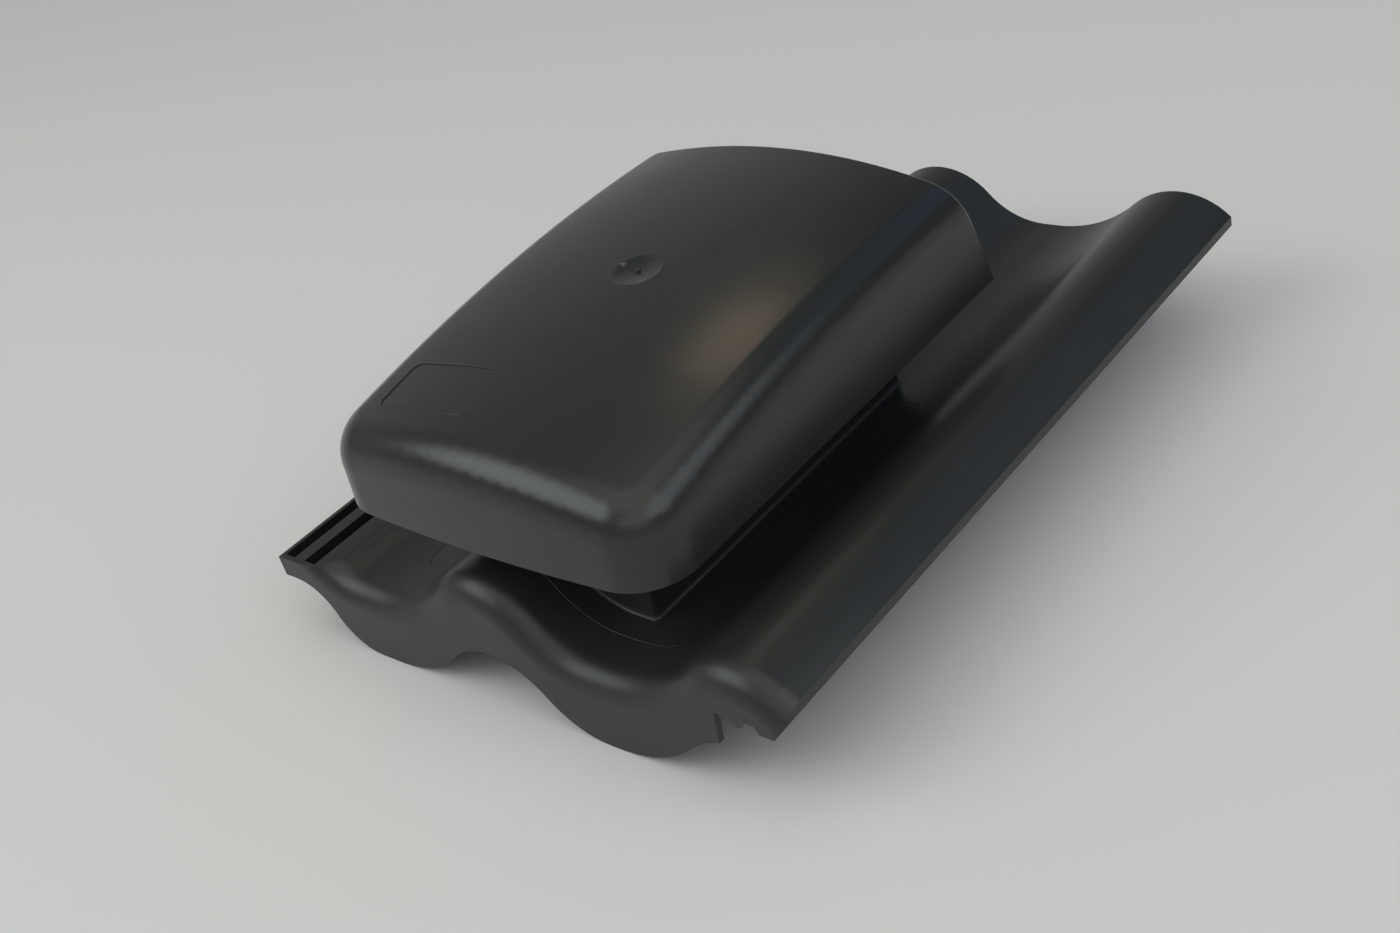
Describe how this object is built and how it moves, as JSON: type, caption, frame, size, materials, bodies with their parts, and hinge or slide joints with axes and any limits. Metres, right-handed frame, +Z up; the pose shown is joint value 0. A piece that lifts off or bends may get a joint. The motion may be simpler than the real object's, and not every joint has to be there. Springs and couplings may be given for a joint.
{
  "type": "roof tile vent",
  "caption": "Plastic roof tile with rolls, a side lock and an open upstand, under a crowned hood that sheds rain and lets air out of the roof",
  "frame": {"origin": "under the middle of the tile, level with the skirt's feet and the foot of the duct's collar", "axes": "+X across the tile to the right as seen from its front edge, +Y up the slope to its head, +Z up"},
  "size_m": [0.322, 0.42, 0.16],
  "materials": {
    "anthracite_plastic": "satin, as moulded"
  },
  "bodies": {
    "root": {"vented_tile": "anthracite_plastic", "vent_hood": "anthracite_plastic"}
  },
  "joints": []
}
